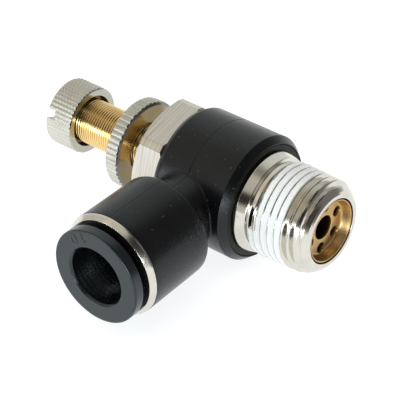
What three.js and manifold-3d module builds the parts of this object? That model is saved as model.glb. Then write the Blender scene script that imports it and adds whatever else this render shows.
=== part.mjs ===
// Right-angle flow control valve: a nickel-plated stem with an R3/8 taper thread, a plastic body
// that swivels on it with a push-in port for 10 mm tube, and a brass needle set by a knurled knob.
//
// Units are millimetres. The valve axis is X, with the thread pointing to +X and the knob to -X.
// The tube port opens to -Y. Every sub-part below is written in valve coordinates, whose origin is
// where the port axis crosses the valve axis. The exported group then moves the whole valve so
// that its origin is on the valve axis at the gauge plane of the taper thread.

import * as THREE from "three";
import { mergeVertices } from "three/addons/utils/BufferGeometryUtils.js";
import Module from "manifold-3d";

const wasm = await Module();
wasm.setup();

// ---- Driving dimensions ---------------------------------------------------------------------

// Standard sizes that everything else is built around.
const TUBE_RADIUS = 5;
const THREAD_PITCH = 1.337;
const GAUGE_RADIUS = 8.33;
const GAUGE_LENGTH = 6.4;
const TAPER_PER_MM = 1 / 32;
const HEX_ACROSS_FLATS = 19;
const NEEDLE_THREAD_RADIUS = 3.95;

// Stations along the valve axis.
const KNOB_END_X = -34.4;
const KNOB_FACE_X = -29;
const NUT_BACK_X = -19.25;
const NUT_FACE_X = -16.4;
const HEX_END_X = -12;
const BARREL_START_X = -6.6;
const BARREL_CHAMFER_X = 7.6;
const BARREL_END_X = 8.8;
const COLLAR_START_X = 9;
const COLLAR_END_X = 11.05;
const THREAD_START_X = 12;
const THREAD_END_X = 22.6;

// Stations along the port axis.
const SLEEVE_FACE_Y = -32.3;
const SLEEVE_HEAD_BACK_Y = -30.4;
const PORT_RING_FACE_Y = -29;
const HOUSING_MOUTH_Y = -27.95;
const HOUSING_BACK_Y = -14.5;
const TUBE_STOP_Y = -14.8;

// Radii.
const KNOB_RADIUS = 6;
const NUT_RADIUS = 8.06;
const HEX_CORNER_RADIUS = 10.6;
const BARREL_RADIUS = 11;
const BARREL_BORE_RADIUS = 8.95;
const SHANK_RADIUS = 8.7;
const COLLAR_RADIUS = 8.84;
const CHAMBER_RADIUS = 5.45;
const INSERT_RADIUS = 5.55;
const HOUSING_RADIUS = 9.25;
const HOUSING_BORE_RADIUS = 8.1;
const NECK_RADIUS = 6.3;
const PASSAGE_RADIUS = 3.8;
const TUBE_BORE_RADIUS = 5.2;

// Angles about the valve axis, in degrees from +Z towards -Y.
const HEX_CORNER_ANGLE = 43.5;
const SLOT_ANGLE = 65;
const INSERT_HOLE_ANGLE = 48;

// Knurls, slots and holes.
const KNOB_TEETH = 48;
const KNOB_TOOTH_DEPTH = 0.18;
const KNOB_RECESS_RADIUS = 4.5;
const KNOB_RECESS_DEPTH = 0.9;
const SLOT_WIDTH = 1.7;
const SLOT_DEPTH = 1.6;
const NUT_TEETH = 48;
const NUT_TOOTH_DEPTH = 0.28;
const INSERT_HOLES = 6;
const INSERT_HOLE_RADIUS = 0.92;
const INSERT_HOLE_CIRCLE = 3.72;
const STEM_PORTS = 6;
const STEM_PORT_RADIUS = 1.9;
const COLLET_SLITS = 12;
const COLLET_SLIT_WIDTH = 0.45;

// Free space between neighbouring sub-parts, and roundness of the turned ones.
const GAP = 0.1;
const THREAD_GAP = 0.2;
const OUTER_SIDES = 36;
const INNER_SIDES = 24;

// ---- Solid modelling helpers ----------------------------------------------------------------

// Turns a closed three.js geometry into a manifold solid with its faces pointing out.
function solidFrom(geometry) {
  const bare = geometry.clone();
  bare.deleteAttribute("normal");
  bare.deleteAttribute("uv");
  const welded = mergeVertices(bare, 1e-3);
  const points = welded.attributes.position.array;
  const corners = [];
  let volume = 0;
  const index = welded.index.array;
  for (let i = 0; i < index.length; i += 3) {
    const [a, b, c] = [index[i], index[i + 1], index[i + 2]];
    if (a === b || b === c || c === a) continue;
    corners.push(a, b, c);
    const va = new THREE.Vector3().fromArray(points, 3 * a);
    const vb = new THREE.Vector3().fromArray(points, 3 * b);
    const vc = new THREE.Vector3().fromArray(points, 3 * c);
    volume += va.dot(vb.cross(vc));
  }
  if (volume < 0) corners.reverse();
  const mesh = new wasm.Mesh({
    numProp: 3,
    vertProperties: new Float32Array(points),
    triVerts: new Uint32Array(corners),
  });
  return new wasm.Manifold(mesh);
}

// A turned solid. The profile lists [station along the axis, radius] once round; it either starts
// and ends on the axis or closes on itself.
function turned(axis, profile, sides = OUTER_SIDES) {
  const outline = profile.map(([station, radius]) => new THREE.Vector2(radius, station));
  const onAxis = outline[0].x === 0 && outline[outline.length - 1].x === 0;
  if (!onAxis) outline.push(outline[0].clone());
  const geometry = new THREE.LatheGeometry(outline, sides);
  if (axis === "x") geometry.rotateZ(-Math.PI / 2);
  return solidFrom(geometry);
}

// A round bar from one station to another along an axis.
function bar(axis, from, to, radius, sides = INNER_SIDES) {
  return turned(axis, [[from, 0], [from, radius], [to, radius], [to, 0]], sides);
}

// A ring with a plain rectangular section.
function ring(axis, from, to, innerRadius, outerRadius, sides = OUTER_SIDES) {
  const profile = [[from, innerRadius], [from, outerRadius], [to, outerRadius], [to, innerRadius]];
  return turned(axis, profile, sides);
}

// A rubber ring of round section lying in a plane across the valve axis.
function oRing(x, centreRadius, sectionRadius) {
  const geometry = new THREE.TorusGeometry(centreRadius, sectionRadius, 8, INNER_SIDES);
  geometry.rotateY(Math.PI / 2);
  geometry.translate(x, 0, 0);
  return solidFrom(geometry);
}

// An outline across the valve axis, pulled from one station to another.
function pulledAlongX(shape, from, to) {
  const geometry = new THREE.ExtrudeGeometry(shape, { depth: to - from, bevelEnabled: false });
  geometry.rotateX(Math.PI / 2);
  geometry.rotateZ(Math.PI / 2);
  geometry.translate(from, 0, 0);
  return solidFrom(geometry);
}

// A straight-knurled bar: each tooth is a ridge with a rounded-off root.
function knurledBar(from, to, radius, depth, teeth) {
  const shape = new THREE.Shape();
  for (let tooth = 0; tooth < teeth; tooth += 1) {
    const crest = (2 * Math.PI * tooth) / teeth;
    const root = (2 * Math.PI * (tooth + 0.5)) / teeth;
    const place = tooth === 0 ? "moveTo" : "lineTo";
    shape[place](radius * Math.cos(crest), radius * Math.sin(crest));
    shape.lineTo((radius - depth) * Math.cos(root), (radius - depth) * Math.sin(root));
  }
  shape.closePath();
  return pulledAlongX(shape, from, to);
}

// A box given by its sizes and centre, turned about the valve axis by an angle in degrees.
function turnedBox(sizes, centre, degrees = 0) {
  const geometry = new THREE.BoxGeometry(...sizes);
  geometry.translate(...centre);
  geometry.rotateX(THREE.MathUtils.degToRad(degrees));
  return solidFrom(geometry);
}

// A bar across the valve axis, from the axis outwards, at an angle from +Z towards -Y.
function radialBar(x, degrees, radius, length) {
  const geometry = new THREE.CylinderGeometry(radius, radius, length, INNER_SIDES);
  geometry.rotateX(Math.PI / 2);
  geometry.translate(x, 0, length / 2);
  geometry.rotateX(THREE.MathUtils.degToRad(degrees));
  return solidFrom(geometry);
}

// A bar along the valve axis, offset from it by a radius at an angle from +Z towards -Y.
function offsetBar(from, to, radius, offset, degrees) {
  const geometry = new THREE.CylinderGeometry(radius, radius, to - from, INNER_SIDES / 2);
  geometry.rotateZ(-Math.PI / 2);
  geometry.translate((from + to) / 2, 0, offset);
  geometry.rotateX(THREE.MathUtils.degToRad(degrees));
  return solidFrom(geometry);
}

// Radius of the thread crests at a station, following the 1 in 16 taper.
function crestRadius(x) {
  const gaugeX = THREAD_END_X - GAUGE_LENGTH;
  return GAUGE_RADIUS - (x - gaugeX) * TAPER_PER_MM;
}

// Profile points of thread ridges between two stations: crest, root, crest, ...
function ridges(from, to, depth) {
  const points = [];
  const turns = Math.round((to - from) / THREAD_PITCH);
  for (let turn = 0; turn < turns; turn += 1) {
    const crestX = from + turn * THREAD_PITCH;
    const rootX = crestX + THREAD_PITCH / 2;
    points.push([crestX, crestRadius(crestX)], [rootX, crestRadius(rootX) - depth]);
  }
  points.push([to, crestRadius(to)]);
  return points;
}

// ---- Materials ------------------------------------------------------------------------------

function finish(color, roughness, metalness) {
  return new THREE.MeshStandardMaterial({ color, roughness, metalness });
}

const nickel = finish(0xc8c4b9, 0.25, 1);
const brass = finish(0xc09038, 0.25, 1);
const steel = finish(0xb4b4b0, 0.3, 1);
const blackPlastic = finish(0x232326, 0.5, 0);
const sleevePlastic = finish(0x2c3034, 0.4, 0);
const innerPlastic = finish(0x1c1c1e, 0.55, 0);
const rubber = finish(0x161616, 0.8, 0);
const whiteCoat = finish(0xeef0f2, 0.7, 0);

// ---- Sub-parts on the valve axis ------------------------------------------------------------

const SEAL_GROOVE_RADIUS = 7.1;
const SEAL_GROOVE_WIDTH = 1.8;
const HEX_SIDE_GROOVE_X = -5.75;
const THREAD_SIDE_GROOVE_X = 4.55;
const RETAINER_GROOVE_X = 7.6;
const RETAINER_GROOVE_RADIUS = 8.1;
const RETAINER_RADIUS = 9.8;
const SEALANT_START_X = 13;
const SEALANT_TURNS = 4;
const SEALANT_END_X = SEALANT_START_X + SEALANT_TURNS * THREAD_PITCH;
const SEALANT_FLOOR_RADIUS = 7.6;
const NEEDLE_BORE_RADIUS = 4.6;
const NEEDLE_STOP_X = -8.5;
const NEEDLE_HEAD_RADIUS = 4.4;
const NEEDLE_SEAL_GROOVE_RADIUS = 3.35;
const NEEDLE_SHANK_RADIUS = 2.6;
const KNOB_SPIGOT_RADIUS = 3.3;
const CHAMBER_START_X = -2.6;
const WAIST_RADIUS = 6.4;
const WAIST_END_X = 3.4;
const STEM_PORT_X = 0.4;
const INSERT_STEP_X = 17.6;
const INSERT_FLOOR_X = 20.8;
const INSERT_TUBE_START_X = 4.5;
const SEAT_RADIUS = 2.1;

// Nickel-plated stem: hexagon for the spanner, shank that carries the swivelling body, waist with
// cross holes, collar and taper thread. It is bored through for the needle and the flow insert.
function stemBody() {
  const hexCorners = new THREE.Shape();
  const cornerReach = HEX_ACROSS_FLATS / Math.sqrt(3);
  for (let corner = 0; corner < 6; corner += 1) {
    const angle = THREE.MathUtils.degToRad(HEX_CORNER_ANGLE + 60 * corner);
    const place = corner === 0 ? "moveTo" : "lineTo";
    hexCorners[place](-cornerReach * Math.sin(angle), cornerReach * Math.cos(angle));
  }
  hexCorners.closePath();
  const hexBack = BARREL_START_X - 3 * GAP;
  const chamfered = turned("x", [
    [HEX_END_X, 0],
    [HEX_END_X, HEX_CORNER_RADIUS - 1.1],
    [HEX_END_X + 0.6, HEX_CORNER_RADIUS],
    [hexBack - 0.15, HEX_CORNER_RADIUS],
    [hexBack, HEX_CORNER_RADIUS - 0.15],
    [hexBack, 0],
  ], 2 * OUTER_SIDES);
  const head = pulledAlongX(hexCorners, HEX_END_X - 1, hexBack + 1).intersect(chamfered);

  const outer = turned("x", [
    [hexBack - 1, 0],
    [hexBack - 1, SHANK_RADIUS],
    [HEX_SIDE_GROOVE_X, SHANK_RADIUS],
    [HEX_SIDE_GROOVE_X, SEAL_GROOVE_RADIUS],
    [HEX_SIDE_GROOVE_X + SEAL_GROOVE_WIDTH, SEAL_GROOVE_RADIUS],
    [HEX_SIDE_GROOVE_X + SEAL_GROOVE_WIDTH, SHANK_RADIUS],
    [CHAMBER_START_X, SHANK_RADIUS],
    [CHAMBER_START_X, WAIST_RADIUS],
    [WAIST_END_X, WAIST_RADIUS],
    [WAIST_END_X, SHANK_RADIUS],
    [THREAD_SIDE_GROOVE_X, SHANK_RADIUS],
    [THREAD_SIDE_GROOVE_X, SEAL_GROOVE_RADIUS],
    [THREAD_SIDE_GROOVE_X + SEAL_GROOVE_WIDTH, SEAL_GROOVE_RADIUS],
    [THREAD_SIDE_GROOVE_X + SEAL_GROOVE_WIDTH, SHANK_RADIUS],
    [RETAINER_GROOVE_X, SHANK_RADIUS],
    [RETAINER_GROOVE_X, RETAINER_GROOVE_RADIUS],
    [COLLAR_START_X, RETAINER_GROOVE_RADIUS],
    [COLLAR_START_X, COLLAR_RADIUS - 0.15],
    [COLLAR_START_X + 0.15, COLLAR_RADIUS],
    [COLLAR_END_X, COLLAR_RADIUS],
    [COLLAR_END_X + 0.25, 7.9],
    [THREAD_START_X - 0.1, 7.9],
    [THREAD_START_X + 0.6, crestRadius(THREAD_START_X + 0.6)],
    [SEALANT_START_X - GAP, 7.95],
    [SEALANT_START_X - GAP, SEALANT_FLOOR_RADIUS],
    [SEALANT_END_X + GAP, SEALANT_FLOOR_RADIUS],
    [SEALANT_END_X + GAP, crestRadius(SEALANT_END_X)],
    [SEALANT_END_X + GAP + THREAD_PITCH / 2, 7.6],
    [SEALANT_END_X + GAP + THREAD_PITCH, crestRadius(SEALANT_END_X + THREAD_PITCH)],
    [20.45, 7.75],
    [20.7, 7.95],
    [21.9, 7.3],
    [THREAD_END_X, 6.5],
    [THREAD_END_X, 0],
  ]);

  const bored = turned("x", [
    [HEX_END_X - 1, 0],
    [HEX_END_X - 1, NEEDLE_THREAD_RADIUS + THREAD_GAP],
    [NEEDLE_STOP_X, NEEDLE_THREAD_RADIUS + THREAD_GAP],
    [NEEDLE_STOP_X, NEEDLE_BORE_RADIUS],
    [CHAMBER_START_X, NEEDLE_BORE_RADIUS],
    [CHAMBER_START_X, CHAMBER_RADIUS],
    [INSERT_STEP_X, CHAMBER_RADIUS],
    [INSERT_STEP_X, INSERT_RADIUS + GAP],
    [THREAD_END_X + 1, INSERT_RADIUS + GAP],
    [THREAD_END_X + 1, 0],
  ], INNER_SIDES);

  let stem = head.add(outer).subtract(bored);
  for (let port = 0; port < STEM_PORTS; port += 1) {
    const angle = (360 / STEM_PORTS) * (port + 0.5);
    stem = stem.subtract(radialBar(STEM_PORT_X, angle, STEM_PORT_RADIUS, SHANK_RADIUS));
  }
  return stem;
}

// White sealant coating over the middle turns of the taper thread.
function threadSealant() {
  const floor = SEALANT_FLOOR_RADIUS + GAP;
  const outer = ridges(SEALANT_START_X, SEALANT_END_X, 0.3);
  return turned("x", [[SEALANT_START_X, floor], ...outer, [SEALANT_END_X, floor]]);
}

// Brass insert pressed into the thread end: dished face with the metering hole in its middle and
// free-flow holes round it, and a tube whose inner end is the needle's seat.
function flowInsert() {
  const backX = INSERT_STEP_X + 0.3;
  const rimX = THREAD_END_X - 0.15;
  let insert = turned("x", [
    [INSERT_TUBE_START_X, SEAT_RADIUS],
    [INSERT_TUBE_START_X, 3.3],
    [13.3, 3.3],
    [13.3, 2.75],
    [backX, 2.75],
    [backX, INSERT_RADIUS],
    [rimX, INSERT_RADIUS],
    [rimX, INSERT_RADIUS - 0.3],
    [INSERT_FLOOR_X, 4.8],
    [INSERT_FLOOR_X, SEAT_RADIUS],
  ], INNER_SIDES);
  for (let hole = 0; hole < INSERT_HOLES; hole += 1) {
    const angle = INSERT_HOLE_ANGLE + (360 / INSERT_HOLES) * hole;
    const drill = offsetBar(
      backX - 1, INSERT_FLOOR_X + 1, INSERT_HOLE_RADIUS, INSERT_HOLE_CIRCLE, angle,
    );
    insert = insert.subtract(drill);
  }
  return insert;
}

// Rubber lip seal round the insert's tube: air passes it towards the thread and not back.
function checkSeal() {
  return turned("x", [
    [13.6, 2.9],
    [13.6, 4.7],
    [13.8, 4.95],
    [16.9, 5.3],
    [16.9, 5.05],
    [14.8, 4.65],
    [14.8, 3.5],
    [17.6, 3.3],
    [17.6, 2.9],
  ], INNER_SIDES);
}

// Black snap ring that keeps the swivelling body on the stem; it is split on the side away from
// the port.
function retainingRing() {
  const startX = RETAINER_GROOVE_X + 0.4;
  const boreRadius = RETAINER_GROOVE_RADIUS + 0.15;
  const whole = ring("x", startX, BARREL_END_X, boreRadius, RETAINER_RADIUS);
  const split = turnedBox([3, 1.6, 4], [BARREL_END_X, 0, 9], 220);
  return whole.subtract(split);
}

// Brass needle: spigot for the knob, fine thread, head with the seal groove, shank and taper.
function needle() {
  return turned("x", [
    [KNOB_END_X + 2.2, 0],
    [KNOB_END_X + 2.2, KNOB_SPIGOT_RADIUS],
    [KNOB_FACE_X - 0.8, KNOB_SPIGOT_RADIUS],
    [KNOB_FACE_X - 0.8, NEEDLE_THREAD_RADIUS],
    [NEEDLE_STOP_X + 0.3, NEEDLE_THREAD_RADIUS],
    [NEEDLE_STOP_X + 0.3, NEEDLE_HEAD_RADIUS],
    [-7.9, NEEDLE_HEAD_RADIUS],
    [-7.9, NEEDLE_SEAL_GROOVE_RADIUS],
    [-6.3, NEEDLE_SEAL_GROOVE_RADIUS],
    [-6.3, NEEDLE_HEAD_RADIUS],
    [-5.3, NEEDLE_HEAD_RADIUS],
    [-4.9, NEEDLE_SHANK_RADIUS],
    [0.2, NEEDLE_SHANK_RADIUS],
    [0.2, 2],
    [4, 0.8],
    [4, 0],
  ], INNER_SIDES);
}

// Nickel-plated knob: straight knurl, screwdriver slot in the end, recess round the needle.
function adjustingKnob() {
  const blank = turned("x", [
    [KNOB_END_X, 0],
    [KNOB_END_X, KNOB_RADIUS - 0.4],
    [KNOB_END_X + 0.4, KNOB_RADIUS],
    [KNOB_FACE_X - 0.4, KNOB_RADIUS],
    [KNOB_FACE_X, KNOB_RADIUS - 0.5],
    [KNOB_FACE_X, 0],
  ], KNOB_TEETH);
  const teeth = knurledBar(
    KNOB_END_X - 1, KNOB_FACE_X + 1, KNOB_RADIUS, KNOB_TOOTH_DEPTH, KNOB_TEETH,
  );
  const socket = bar("x", KNOB_END_X + 2, KNOB_FACE_X, KNOB_SPIGOT_RADIUS + GAP);
  const recess = bar("x", KNOB_FACE_X - KNOB_RECESS_DEPTH, KNOB_FACE_X + 1, KNOB_RECESS_RADIUS);
  const slot = turnedBox([2 * SLOT_DEPTH, SLOT_WIDTH, 20], [KNOB_END_X, 0, 0], SLOT_ANGLE);
  return blank.intersect(teeth).subtract(socket).subtract(recess).subtract(slot);
}

// Nickel-plated lock nut with a coarser knurl.
function lockNut() {
  const bore = NEEDLE_THREAD_RADIUS + THREAD_GAP;
  const blank = turned("x", [
    [NUT_BACK_X, bore + 0.5],
    [NUT_BACK_X, NUT_RADIUS - 0.35],
    [NUT_BACK_X + 0.35, NUT_RADIUS],
    [NUT_FACE_X - 0.35, NUT_RADIUS],
    [NUT_FACE_X, NUT_RADIUS - 0.6],
    [NUT_FACE_X, bore + 0.5],
    [NUT_FACE_X - 0.5, bore],
    [NUT_BACK_X + 0.5, bore],
  ], NUT_TEETH);
  const teeth = knurledBar(
    NUT_BACK_X - 1, NUT_FACE_X + 1, NUT_RADIUS, NUT_TOOTH_DEPTH, NUT_TEETH,
  );
  return blank.intersect(teeth);
}

// ---- Sub-parts on the port axis -------------------------------------------------------------

const SEAL_SEAT_Y = -17.6;
const SEAL_FRONT_Y = -19.9;
const BACKUP_FRONT_Y = -21.2;
const COLLET_FRONT_Y = -23.7;
const CARTRIDGE_RADIUS = HOUSING_BORE_RADIUS - 0.12;
const GUIDE_FACE_Y = -28.9;
const GUIDE_END_Y = -24;
const GUIDE_BORE_RADIUS = 6.95;
const RING_SHOULDER_Y = -28.2;
const RING_BORE_RADIUS = 7.5;
const RING_MOUTH_RADIUS = 8.45;
const SLEEVE_HEAD_RADIUS = 8.5;
const SLEEVE_TAIL_RADIUS = 6.7;
const SLEEVE_TAIL_Y = -24;

// Black plastic body in one piece: barrel round the stem, neck, and housing of the tube port.
function swivelBody() {
  const barrel = turned("x", [
    [BARREL_START_X, 0],
    [BARREL_START_X, BARREL_RADIUS - 0.6],
    [BARREL_START_X + 0.8, BARREL_RADIUS - 0.1],
    [BARREL_CHAMFER_X, BARREL_RADIUS],
    [BARREL_END_X, BARREL_RADIUS - 0.95],
    [BARREL_END_X, 0],
  ]);
  const neck = bar("y", HOUSING_BACK_Y - 1, -5, NECK_RADIUS, OUTER_SIDES);
  const housing = turned("y", [
    [HOUSING_MOUTH_Y, 0],
    [HOUSING_MOUTH_Y, HOUSING_RADIUS],
    [HOUSING_BACK_Y - 1.2, HOUSING_RADIUS - 0.15],
    [HOUSING_BACK_Y - 0.35, HOUSING_RADIUS - 0.5],
    [HOUSING_BACK_Y, HOUSING_RADIUS - 1.35],
    [HOUSING_BACK_Y, 0],
  ]);
  const stemBore = turned("x", [
    [BARREL_START_X - 1, 0],
    [BARREL_START_X - 1, BARREL_BORE_RADIUS],
    [RETAINER_GROOVE_X + 0.25, BARREL_BORE_RADIUS],
    [RETAINER_GROOVE_X + 0.25, RETAINER_RADIUS + GAP],
    [BARREL_END_X + 1, RETAINER_RADIUS + GAP],
    [BARREL_END_X + 1, 0],
  ]);
  const portBore = turned("y", [
    [HOUSING_MOUTH_Y - 1, 0],
    [HOUSING_MOUTH_Y - 1, HOUSING_BORE_RADIUS],
    [SEAL_SEAT_Y, HOUSING_BORE_RADIUS],
    [SEAL_SEAT_Y, TUBE_BORE_RADIUS],
    [TUBE_STOP_Y, TUBE_BORE_RADIUS],
    [TUBE_STOP_Y, PASSAGE_RADIUS],
    [-6, PASSAGE_RADIUS],
    [-6, 0],
  ]);
  return barrel.add(neck).add(housing).subtract(stemBore).subtract(portBore);
}

// Rubber seal that closes round the tube.
function tubeSeal() {
  return turned("y", [
    [SEAL_SEAT_Y - GAP, TUBE_RADIUS + 0.4],
    [SEAL_SEAT_Y - GAP, CARTRIDGE_RADIUS],
    [SEAL_FRONT_Y, CARTRIDGE_RADIUS],
    [SEAL_FRONT_Y, TUBE_RADIUS + 1],
    [SEAL_FRONT_Y + 0.8, TUBE_RADIUS + 0.05],
    [SEAL_SEAT_Y - 0.8, TUBE_RADIUS + 0.05],
  ], INNER_SIDES);
}

// Plastic ring that backs the tube seal and carries the collet.
function sealBackupRing() {
  const backY = SEAL_FRONT_Y - GAP;
  return ring("y", BACKUP_FRONT_Y, backY, TUBE_RADIUS + 0.4, CARTRIDGE_RADIUS, INNER_SIDES);
}

// Spring steel collet: a ring with claws that lean inwards and away from the mouth.
function collet() {
  const claws = turned("y", [
    [COLLET_FRONT_Y, CARTRIDGE_RADIUS - 0.5],
    [COLLET_FRONT_Y, CARTRIDGE_RADIUS],
    [COLLET_FRONT_Y + 0.5, CARTRIDGE_RADIUS],
    [BACKUP_FRONT_Y - GAP, TUBE_RADIUS + 0.2],
    [BACKUP_FRONT_Y - 0.3, TUBE_RADIUS + 0.05],
  ], INNER_SIDES);
  let cut = claws;
  for (let slit = 0; slit < COLLET_SLITS; slit += 1) {
    const geometry = new THREE.BoxGeometry(2.4, 4, COLLET_SLIT_WIDTH);
    geometry.translate(TUBE_RADIUS + 1.1, BACKUP_FRONT_Y, 0);
    geometry.rotateY((2 * Math.PI * (slit + 0.5)) / COLLET_SLITS);
    cut = cut.subtract(solidFrom(geometry));
  }
  return cut;
}

// Plastic guide with a flange that fills the mouth of the port ring; the release sleeve slides in it.
function colletGuide() {
  const outerRadius = RING_BORE_RADIUS - GAP;
  return turned("y", [
    [GUIDE_FACE_Y, GUIDE_BORE_RADIUS],
    [GUIDE_FACE_Y, RING_MOUTH_RADIUS - GAP],
    [RING_SHOULDER_Y - GAP, RING_MOUTH_RADIUS - GAP],
    [RING_SHOULDER_Y - GAP, outerRadius],
    [GUIDE_END_Y, outerRadius],
    [GUIDE_END_Y, outerRadius - 0.2],
    [GUIDE_END_Y - 0.4, GUIDE_BORE_RADIUS],
  ]);
}

// Nickel-plated ring that closes the housing: a rounded rim outside, and a skirt pressed into the
// bore that holds the collet in.
function portRing() {
  const skirtEndY = COLLET_FRONT_Y - GAP;
  return turned("y", [
    [skirtEndY, RING_BORE_RADIUS],
    [RING_SHOULDER_Y, RING_BORE_RADIUS],
    [RING_SHOULDER_Y, RING_MOUTH_RADIUS],
    [PORT_RING_FACE_Y, RING_MOUTH_RADIUS],
    [PORT_RING_FACE_Y, RING_MOUTH_RADIUS + 0.15],
    [PORT_RING_FACE_Y + 0.3, HOUSING_RADIUS - 0.25],
    [PORT_RING_FACE_Y + 0.75, HOUSING_RADIUS],
    [HOUSING_MOUTH_Y - GAP, HOUSING_RADIUS],
    [HOUSING_MOUTH_Y - GAP, CARTRIDGE_RADIUS],
    [skirtEndY, CARTRIDGE_RADIUS],
  ]);
}

// Plastic release sleeve: the head is pressed to open the collet, and the tube goes through it.
function releaseSleeve() {
  const bore = TUBE_RADIUS + 0.15;
  return turned("y", [
    [SLEEVE_FACE_Y, bore + 0.45],
    [SLEEVE_FACE_Y, SLEEVE_HEAD_RADIUS - 0.35],
    [SLEEVE_FACE_Y + 0.3, SLEEVE_HEAD_RADIUS],
    [SLEEVE_HEAD_BACK_Y, SLEEVE_HEAD_RADIUS],
    [SLEEVE_HEAD_BACK_Y, SLEEVE_TAIL_RADIUS],
    [SLEEVE_TAIL_Y - 0.9, SLEEVE_TAIL_RADIUS],
    [SLEEVE_TAIL_Y, SLEEVE_TAIL_RADIUS - 0.9],
    [SLEEVE_TAIL_Y, bore],
    [SLEEVE_FACE_Y + 0.6, bore],
  ]);
}

// ---- Assembly -------------------------------------------------------------------------------

const valve = new THREE.Group();
valve.position.x = -(THREAD_END_X - GAUGE_LENGTH);

function place(name, solid, material) {
  const { numProp, vertProperties, triVerts } = solid.getMesh();
  const geometry = new THREE.BufferGeometry();
  geometry.setAttribute("position", new THREE.BufferAttribute(vertProperties, numProp));
  geometry.setIndex(new THREE.BufferAttribute(triVerts, 1));
  geometry.computeVertexNormals();
  const mesh = new THREE.Mesh(geometry, material);
  mesh.name = name;
  valve.add(mesh);
}

place("stem_body", stemBody(), nickel);
place("thread_sealant", threadSealant(), whiteCoat);
place("flow_insert", flowInsert(), brass);
place("check_seal", checkSeal(), rubber);
place("hex_side_o_ring", oRing(HEX_SIDE_GROOVE_X + SEAL_GROOVE_WIDTH / 2, 8, 0.78), rubber);
place("thread_side_o_ring", oRing(THREAD_SIDE_GROOVE_X + SEAL_GROOVE_WIDTH / 2, 8, 0.78), rubber);
place("retaining_ring", retainingRing(), blackPlastic);
place("needle", needle(), brass);
place("needle_o_ring", oRing(-7.1, 3.95, 0.52), rubber);
place("adjusting_knob", adjustingKnob(), nickel);
place("lock_nut", lockNut(), nickel);
place("swivel_body", swivelBody(), blackPlastic);
place("tube_seal", tubeSeal(), rubber);
place("seal_backup_ring", sealBackupRing(), innerPlastic);
place("collet", collet(), steel);
place("collet_guide", colletGuide(), innerPlastic);
place("port_ring", portRing(), nickel);
place("release_sleeve", releaseSleeve(), sleevePlastic);

const exported = new THREE.Group();
exported.add(valve);
export default exported;
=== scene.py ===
"""The looks of a right-angle pneumatic flow control valve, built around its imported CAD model.

Shapes are laid out in millimetres in valve coordinates: the valve axis is X, the tube port opens to
-Y, +Z is up, and the origin is where the port axis crosses the valve axis. to_frame() turns them
into metres in the CAD frame.
"""

import math

import bmesh
import bpy
import numpy as np
from mathutils import Matrix, Vector


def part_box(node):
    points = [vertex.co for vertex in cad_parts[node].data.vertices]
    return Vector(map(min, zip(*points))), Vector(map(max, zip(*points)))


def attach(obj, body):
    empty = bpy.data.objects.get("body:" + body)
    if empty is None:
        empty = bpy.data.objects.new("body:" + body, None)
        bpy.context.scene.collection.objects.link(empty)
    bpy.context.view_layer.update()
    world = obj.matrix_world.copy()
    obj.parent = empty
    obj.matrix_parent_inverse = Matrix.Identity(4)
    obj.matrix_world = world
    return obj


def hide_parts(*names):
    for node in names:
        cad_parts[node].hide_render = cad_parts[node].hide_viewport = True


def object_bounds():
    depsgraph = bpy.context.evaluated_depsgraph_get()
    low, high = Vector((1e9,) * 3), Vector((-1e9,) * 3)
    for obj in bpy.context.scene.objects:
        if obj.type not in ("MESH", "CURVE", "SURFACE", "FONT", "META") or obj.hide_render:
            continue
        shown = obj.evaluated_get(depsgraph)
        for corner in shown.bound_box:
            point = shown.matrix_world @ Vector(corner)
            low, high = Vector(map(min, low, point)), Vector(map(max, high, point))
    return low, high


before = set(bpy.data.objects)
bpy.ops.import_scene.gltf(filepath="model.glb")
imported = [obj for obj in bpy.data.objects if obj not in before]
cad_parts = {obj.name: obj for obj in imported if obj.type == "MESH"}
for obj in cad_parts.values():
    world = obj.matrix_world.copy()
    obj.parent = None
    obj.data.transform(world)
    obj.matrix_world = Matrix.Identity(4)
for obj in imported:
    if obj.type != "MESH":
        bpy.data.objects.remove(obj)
cad_low, cad_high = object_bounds()

# ---- Places, taken from the CAD nodes ---------------------------------------------------------

MM = 0.001
TURN = 2 * math.pi
sleeve_low, sleeve_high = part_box("release_sleeve")
ORIGIN = np.array([(sleeve_low.x + sleeve_high.x) / 2, 0.0, 0.0])


def span(node, axis):
    """Where a CAD node starts and ends along an axis, in valve coordinates."""
    low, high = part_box(node)
    index = "xyz".index(axis)
    return (low[index] - ORIGIN[index]) / MM, (high[index] - ORIGIN[index]) / MM


KNOB_END, KNOB_FACE = span("adjusting_knob", "x")
KNOB_RADIUS = span("adjusting_knob", "z")[1]
NUT_BACK, NUT_FACE = span("lock_nut", "x")
NUT_RADIUS = span("lock_nut", "z")[1]
HEX_END, THREAD_END = span("stem_body", "x")
BARREL_START, BARREL_END = -6.6, 8.8  # the node's box is wider, as it takes in the port housing
BARREL_RADIUS = span("swivel_body", "z")[1]
INSERT_START, INSERT_RIM = span("flow_insert", "x")
NEEDLE_START, NEEDLE_TIP = span("needle", "x")
SLEEVE_FACE, SLEEVE_TAIL = span("release_sleeve", "y")
RING_FACE, RING_BACK = span("port_ring", "y")
GUIDE_FACE, GUIDE_TAIL = span("collet_guide", "y")
HOUSING_MOUTH = span("swivel_body", "y")[0]
COLLET_FRONT, COLLET_BACK = span("collet", "y")

# Taper thread R3/8, with one of its crests at a known station and angle.
GAUGE_LENGTH = 6.4
GAUGE_RADIUS = 8.33
TAPER = 1 / 32
PITCH = 1.337
THREAD_DEPTH = 0.856
CREST_STATION, CREST_ANGLE = 14.2, 72

NEEDLE_RADIUS = 3.95
FINE_PITCH = 0.5
HEX_ACROSS_FLATS = 19.0
HEX_CORNER_RADIUS = 10.6
HEX_CORNER_ANGLE = 43.5
SLOT_ANGLE = 65
INSERT_HOLE_ANGLE = 48.0
RECESS_RADIUS = 4.6
INSERT_FLOOR = 20.8

# ---- Geometry helpers -------------------------------------------------------------------------

SHARP_ANGLE = 30


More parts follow.
